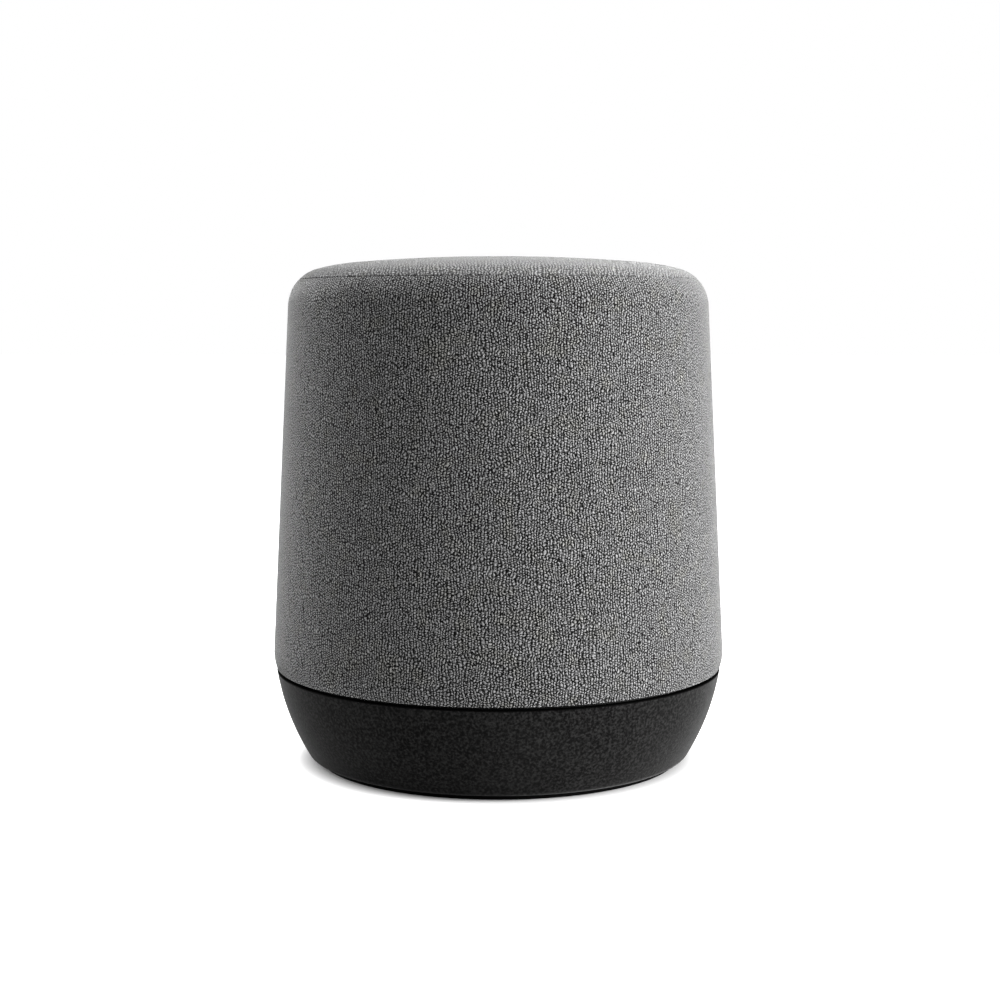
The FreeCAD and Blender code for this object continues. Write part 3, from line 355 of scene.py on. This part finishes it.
def knit(name, gap=0.002, shade=0.018, body=0.115, light=0.255, tip=0.38):
    """Grey melange knit: columns of small light loops over dark gaps, uneven from loop to loop."""
    f = Finish(name, roughness=0.95, specular_ior_level=0.04, sheen_weight=0.8, sheen_roughness=0.31)
    spot = f.place()
    across, along, _ = f.parts(f.node("ShaderNodeUVMap", {"uv_map": "cut"}))
    wander_x, wander_y = f.shifts(spot, knit_wander, 1.0)
    jitter_x, jitter_y = f.shifts(spot, knit_jitter, 0.0)
    column = across / knit_column + wander_x * 2.4 + jitter_x * 1.15
    line = f.maths("FLOOR", column + 0.5)
    row = along / knit_row + line * 0.5 + wander_y * 3.5 + jitter_y * 1.5
    loop_row = f.maths("FLOOR", row + 0.5)
    thread = f.wave(column)
    bead = f.wave(row)
    chance = f.node("ShaderNodeTexWhiteNoise", {"noise_dimensions": "2D"},
                    {"Vector": f.join(line, loop_row)})
    fibre = f.noise(spot, knit_fibre, 0.0)
    loop = thread * (0.15 + bead * 0.85)
    tone = loop * (0.85 + chance * 0.2) + (fibre - 0.5) * 1.5
    steps = ((0.0, gap), (0.13, shade), (0.34, body), (0.60, light), (0.95, tip))
    grey = f.ramp(tone, *((position, (level, level, level * 1.01)) for position, level in steps))
    warm = f.ramp(f.noise(spot, knit_tint, 1.0), (0.52, black), (0.72, white))
    f.colour(f.node("ShaderNodeMix", {"data_type": "RGBA", "blend_type": "MULTIPLY"},
                    {0: warm * 0.5, 6: grey, 7: (1.0, 0.985, 0.87)}, output=2))
    f.relief(loop, loop_height, 0.7)
    return f


def grained_plastic(name, dark, light, grain=0.00045, rough=(0.55, 0.7), depth=0.00004, **constants):
    """Moulded plastic with a fine spark-eroded grain and a faint cloudiness."""
    f = Finish(name, **constants)
    spot = f.place()
    fine = f.noise(spot, grain, 3.0, 0.6)
    speck = f.ramp(fine, (0.42, black), (0.66, white))
    cloud = f.noise(spot, 0.018, 3.0)
    f.colour(f.mix(speck * 0.75 + cloud * 0.25, dark, light))
    f.rough(rough[0] + (rough[1] - rough[0]) * f.noise(spot, grain * 1.7, 2.0))
    f.relief(fine, depth, 0.7)
    return f


def base_plastic(name, low_rim, high_rim, rim=0.0005):
    """Charcoal plastic with a velvety sheen. Within a narrow band at its top and bottom rims the sheen gives
    way to painted shade: a plain near-black shader in place of the shade in the gap under the cloth and at
    the foot.
    """
    gloss = 0.008
    f = grained_plastic(name, (0.0008, 0.0008, 0.0008), (0.030, 0.0297, 0.0294),
                        grain=0.0008, rough=(0.5, 0.6), depth=0.00008,
                        specular_ior_level=gloss, sheen_weight=0.26, sheen_roughness=0.33)
    height = f.parts(f.place())[2]
    inside = f.maths("MINIMUM", height - low_rim, high_rim - height)
    # mask of the painted shade: 0 over the two rims, 1 elsewhere
    sheen_clear_of_painted_shade = f.ramp(inside / rim, (0.35, black), (0.95, white))
    # painted shade: a near-black shader without sheen, laid over the rims where shade falls
    painted_rim_shade = f.node("ShaderNodeBsdfPrincipled", values={
        "Base Color": (0.0015, 0.0015, 0.0015), "Roughness": 0.6, "Specular IOR Level": gloss})
    both = f.node("ShaderNodeMixShader", values={
        0: sheen_clear_of_painted_shade, 1: painted_rim_shade, 2: Amount(f, f.shader.outputs["BSDF"])})
    f.feed(f.tree.nodes["Material Output"].inputs["Surface"], both)
    return f


def rubber(name, dark, light, rough=0.8, **constants):
    """Matt rubber with a soft cloudiness and a very fine grain."""
    f = Finish(name, **constants)
    spot = f.place()
    fine = f.noise(spot, 0.0003, 3.0, 0.65)
    f.colour(f.mix(f.noise(spot, 0.006, 4.0), dark, light))
    f.rough(rough - 0.15 + 0.2 * fine)
    f.relief(fine, 0.00002, 0.5)
    return f


def plated_steel(name, dark, light, streak=0.0004, rough=0.28):
    """Metal with fine turned or brushed streaks and slightly uneven plating."""
    f = Finish(name, metallic=1.0)
    spot = f.place()
    x, y, z = f.parts(spot)
    radius = f.maths("SQRT", x * x + y * y)
    turned = f.noise(f.join(radius * 6.0, z * 6.0, x * 0.6), streak * 3, 2.0)
    patch = f.noise(spot, 0.004, 3.0)
    f.colour(f.mix(turned * 0.5 + patch * 0.5, dark, light))
    f.rough(rough + turned * 0.18 + patch * 0.1)
    f.relief(turned, 0.00001, 0.4)
    return f


def circuit_board(name):
    """Green solder mask over faint copper tracks, with plated pads."""
    track_pitch, pad_pitch = 0.0032, 0.0048
    f = Finish(name, coat_weight=0.35, coat_roughness=0.25)
    spot = f.place()
    cells = f.node("ShaderNodeTexVoronoi", {"feature": "DISTANCE_TO_EDGE"},
                   {"Vector": spot, "Scale": 1 / track_pitch, "Randomness": 0.55}, output="Distance")
    track = f.ramp(cells, (0.06, white), (0.11, black))
    dots = f.node("ShaderNodeTexVoronoi", {"feature": "F1"},
                  {"Vector": spot, "Scale": 1 / pad_pitch, "Randomness": 0.35}, output="Distance")
    pad = f.ramp(dots, (0.10, white), (0.13, black))
    mask = f.mix(track, (0.010, 0.060, 0.030), (0.022, 0.115, 0.055))
    f.colour(f.mix(pad, mask, (0.55, 0.40, 0.16)))
    f.rough(0.38 + f.noise(spot, 0.001) * 0.15)
    f.relief(track, 0.00003, 0.4)
    return f


def striped(name, ground, stripe, pitch, axis, rough=0.45, share=0.5, depth=0.0, **constants):
    """Parallel lines across one axis: a flat cable's conductors, or a coil's turns of wire."""
    f = Finish(name, **constants)
    spot = f.place()
    along = f.parts(spot)[axis]
    line = f.wave(along / pitch)
    f.colour(f.mix(f.ramp(line, (share - 0.12, black), (share + 0.12, white)), ground, stripe))
    f.rough(rough + f.noise(spot, 0.0008) * 0.12)
    if depth:
        f.relief(line, depth, 0.8)
    return f


def pulp(name):
    """Pressed paper of a loudspeaker cone: fibres in all directions."""
    f = Finish(name)
    spot = f.place()
    fibre_length = 0.0007
    fibre = f.node("ShaderNodeTexNoise", values={
        "Vector": spot, "Scale": 1 / fibre_length, "Detail": 5.0, "Roughness": 0.7, "Distortion": 2.5})
    f.colour(f.mix(fibre, (0.016, 0.016, 0.017), (0.060, 0.058, 0.055)))
    f.rough(0.85 - fibre * 0.15)
    f.relief(fibre, 0.00005, 0.7)
    return f


def damper_cloth(name):
    """Resin-stiffened amber cloth: a plain weave in X and Y."""
    f = Finish(name)
    spot = f.place()
    x, y, _ = f.parts(spot)
    yarn = 0.00045
    warp = f.wave(x / yarn)
    weft = f.wave(y / yarn)
    over = f.wave((x + y) / (2 * yarn))
    weave = warp * over + weft * (1 - over)
    f.colour(f.mix(weave, (0.20, 0.115, 0.035), (0.52, 0.34, 0.13)))
    f.rough(0.6 + f.noise(spot, 0.002) * 0.2)
    f.relief(weave, 0.00005, 0.8)
    return f


def ferrite(name):
    """Sintered magnet: dark grey with a hard, fine speckle."""
    f = Finish(name)
    spot = f.place()
    speck = f.noise(spot, 0.0005, 4.0, 0.7)
    f.colour(f.mix(speck, (0.035, 0.035, 0.038), (0.105, 0.105, 0.112)))
    f.rough(0.42 + speck * 0.25)
    f.relief(speck, 0.00003, 0.5)
    return f


def frosted_guide(name):
    """Clear plastic with a frosted surface, which spreads the diodes' light."""
    f = Finish(name, transmission_weight=0.75, ior=1.49)
    spot = f.place()
    haze = f.noise(spot, 0.0006, 3.0)
    f.colour(f.mix(haze, (0.78, 0.80, 0.82), (0.94, 0.95, 0.96)))
    f.rough(0.28 + haze * 0.2)
    f.relief(haze, 0.00002, 0.4)
    return f


def jack_with_pin(name, axis_x, axis_z, pin_radius):
    """Black moulded socket round a bare metal contact pin that stands on its axis."""
    f = Finish(name, specular_ior_level=0.15)
    spot = f.place()
    x, _, z = f.parts(spot)
    away = ((x - axis_x) ** 2.0 + (z - axis_z) ** 2.0) ** 0.5
    around_bore = 4 * pin_radius   # a little wider than the socket's bore
    pin = f.ramp(away / around_bore, (0.30, white), (0.34, black))
    fine = f.noise(spot, 0.0003, 3.0)
    plastic = f.mix(fine, (0.004, 0.004, 0.004), (0.014, 0.014, 0.0145))
    f.colour(f.mix(pin, plastic, (0.62, 0.62, 0.63)))
    f.rough(0.5 + fine * 0.15 - pin * 0.3)
    f.feed(f.shader.inputs["Metallic"], pin)
    f.relief(fine, 0.00001, 0.4)
    return f


base_low, base_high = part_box("base_shell")
finishes = {
    "side_cloth": knit("melange_knit"),
    # painted light: the same knit as the side, painted lighter and lower in contrast on the top, in place of
    # the light from above and of gaps hidden when seen from low down
    "top_cloth": knit("melange_knit_top_painted_lighter", gap=0.034, shade=0.076, body=0.170, light=0.26, tip=0.38),
    "base_plastic": base_plastic("charcoal_base", base_low.z, base_high.z),
    "foot_rubber": rubber("foot_rubber", (0.0015, 0.0015, 0.0015), (0.004, 0.004, 0.004), 0.9,
                          specular_ior_level=0.03),
    "frame_plastic": grained_plastic("black_frame", (0.003, 0.003, 0.003), (0.010, 0.010, 0.0105),
                                     specular_ior_level=0.1),
    "knob_plastic": grained_plastic("satin_knob", (0.045, 0.045, 0.047), (0.070, 0.070, 0.073),
                                    grain=0.0003, rough=(0.38, 0.5), depth=0.00001,
                                    specular_ior_level=0.2),
    "enclosure_plastic": grained_plastic("enclosure_shell", (0.030, 0.031, 0.034), (0.055, 0.056, 0.061)),
    "seal_rubber": rubber("soft_seal", (0.010, 0.010, 0.010), (0.024, 0.024, 0.024), 0.9),
    "circuit_board": circuit_board("green_board"),
    "component_black": grained_plastic("component_black", (0.012, 0.012, 0.013), (0.035, 0.035, 0.036),
                                       grain=0.00025, rough=(0.4, 0.6), depth=0.00001,
                                       specular_ior_level=0.15),
    "connector_cream": grained_plastic("connector_nylon", (0.62, 0.58, 0.46), (0.78, 0.74, 0.62),
                                       grain=0.0003, rough=(0.35, 0.5), depth=0.00001),
    "cable_white": striped("flat_cable", (0.68, 0.68, 0.66), (0.45, 0.45, 0.46), 0.001, 0),
    "lead_red": grained_plastic("lead_insulation", (0.30, 0.020, 0.014), (0.42, 0.045, 0.03),
                                grain=0.0004, rough=(0.35, 0.5), depth=0.00001),
    "screw_steel": plated_steel("zinc_screw", (0.42, 0.42, 0.44), (0.66, 0.66, 0.68)),
    "basket_steel": grained_plastic("powder_coat", (0.016, 0.016, 0.017), (0.040, 0.040, 0.042),
                                    grain=0.0006, rough=(0.45, 0.62), depth=0.00006),
    "plate_steel": plated_steel("turned_plate", (0.34, 0.34, 0.345), (0.52, 0.52, 0.525)),
    "magnet_ferrite": ferrite("sintered_ferrite"),
    "can_steel": plated_steel("tinned_can", (0.50, 0.50, 0.50), (0.70, 0.70, 0.70), rough=0.22),
    "aluminium": plated_steel("satin_aluminium", (0.60, 0.60, 0.62), (0.78, 0.78, 0.80), rough=0.34),
    "copper_wire": striped("enamelled_copper", (0.30, 0.085, 0.03), (0.68, 0.27, 0.11), 0.00028, 2,
                           rough=0.25, depth=0.00006, metallic=1.0),
    "cone_paper": pulp("pressed_pulp"),
    "spider_cloth": damper_cloth("damper_cloth"),
    "surround_rubber": rubber("surround_rubber", (0.009, 0.009, 0.009), (0.018, 0.018, 0.018), 0.6),
    "guide_clear": frosted_guide("frosted_guide"),
    "light_cream": grained_plastic("diode_lens", (0.76, 0.70, 0.48), (0.90, 0.86, 0.66),
                                   grain=0.0003, rough=(0.2, 0.3), depth=0.00001),
}

# ---------------------------------------------------------------- pieces
jack_low, jack_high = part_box("power_jack")
jack_axis = (jack_low + jack_high) / 2
jack_finish = jack_with_pin("jack_with_pin", jack_axis.x, jack_axis.z, pin_radius=0.001)

for part in frame["record"]["subparts"]:
    finish = jack_finish if part["node"] == "power_jack" else finishes[part["material_slot"]]
    for place in frame["nodes"][part["node"]].material_slots:
        place.material = finish.material


def cover(piece, node, finish, **cut):
    piece.data.materials.append(finishes[finish].material)
    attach(piece, "speaker")
    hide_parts(node)


cover(side_cloth(), "fabric_sleeve", "side_cloth", flat=(0.415, 0.126), rests_on=["grille_frame"])
cover(top_cloth(), "fabric_top", "top_cloth", flat=(0.122, 0.122),
      area=math.pi * 0.061 ** 2, rests_on=["top_frame"])


# ---------------------------------------------------------------- floor, light and camera
floor_grey = (0.8, 0.8, 0.8)
floor_glow = 1.05
contact_reach = 0.005      # how far from the speaker's foot the floor darkens
soft_light = 0.15          # the world's own light on the speaker


def show_white(nodes, seen, own, output):
    """own for the light that reaches the object, and seen for what the camera, gloss and glass see."""
    camera, gloss, glass = (nodes.node("ShaderNodeLightPath", output=ray)
                            for ray in ("Is Camera Ray", "Is Glossy Ray", "Is Transmission Ray"))
    any_ray = nodes.node("ShaderNodeMath", {"operation": "ADD", "use_clamp": True},
                         {0: camera + gloss, 1: glass})
    mixed = nodes.node("ShaderNodeMixShader", values={0: any_ray, 1: own, 2: seen})
    nodes.feed(nodes.tree.nodes.new(output).inputs["Surface"], mixed)


def studio_floor():
    mesh = bmesh.new()
    bmesh.ops.create_grid(mesh, x_segments=1, y_segments=1, size=6.0)
    data = bpy.data.meshes.new("studio_floor")
    mesh.to_mesh(data)
    mesh.free()
    floor = bpy.data.objects.new("studio_floor", data)
    bpy.context.scene.collection.objects.link(floor)
    paint = bpy.data.materials.new("studio_floor")
    paint.use_nodes = True
    paint.node_tree.nodes.clear()
    nodes = Nodes(paint.node_tree)
    matt = nodes.node("ShaderNodeBsdfDiffuse", values={"Color": floor_grey})
    contact = nodes.node("ShaderNodeAmbientOcclusion", {"samples": 8}, {"Distance": contact_reach},
                         output="Color")
    glow = nodes.node("ShaderNodeEmission", values={"Color": contact, "Strength": floor_glow})
    lifted = nodes.node("ShaderNodeAddShader", values={0: matt, 1: glow})
    show_white(nodes, lifted, matt, "ShaderNodeOutputMaterial")
    data.materials.append(paint)


def studio_world():
    world = bpy.data.worlds.new("studio")
    world.use_nodes = True
    bpy.context.scene.world = world
    world.node_tree.nodes.clear()
    nodes = Nodes(world.node_tree)
    soft, bright = (nodes.node("ShaderNodeBackground", values={"Color": white, "Strength": strength})
                    for strength in (soft_light, 1.0))
    show_white(nodes, bright, soft, "ShaderNodeOutputWorld")


def soft_box(name, turn, height, away, power, wide, tall):
    """Soft light at that turn from the front towards the right, in degrees, aimed at the speaker."""
    lamp = bpy.data.lights.new(name, "AREA")
    lamp.shape = "RECTANGLE"
    lamp.size = wide
    lamp.size_y = tall
    lamp.energy = power
    box = bpy.data.objects.new(name, lamp)
    side = math.radians(turn)
    box.location = (away * math.sin(side), -away * math.cos(side), height)
    aim = Vector((0, 0, 0.5 * crown_z)) - box.location
    box.rotation_euler = aim.to_track_quat("-Z", "Y").to_euler()
    bpy.context.scene.collection.objects.link(box)


def studio_camera():
    """A little lower than the speaker's top, 562 mm from its axis, looking slightly down."""
    lens = bpy.data.cameras.new("camera")
    lens.lens = 65.16
    lens.sensor_width = 36.0
    camera = bpy.data.objects.new("camera", lens)
    look_down = 5.76
    camera.location = (0.0005, -0.5620, 0.1371)
    camera.rotation_euler = (math.radians(90.0 - look_down), 0.0, 0.0)
    bpy.context.scene.collection.objects.link(camera)
    bpy.context.scene.camera = camera


bpy.context.scene.view_settings.view_transform = "Standard"
studio_floor()
studio_world()
soft_box("key_light", turn=62, height=0.42, away=0.95, power=10.2, wide=0.4, tall=0.6)
soft_box("low_light", turn=84, height=0.035, away=0.9, power=11.5, wide=0.3, tall=0.3)
soft_box("rim_light", turn=-108, height=0.30, away=0.9, power=1.4, wide=0.3, tall=0.7)
soft_box("top_light", turn=180, height=1.0, away=0.15, power=12.4, wide=0.7, tall=0.7)
studio_camera()
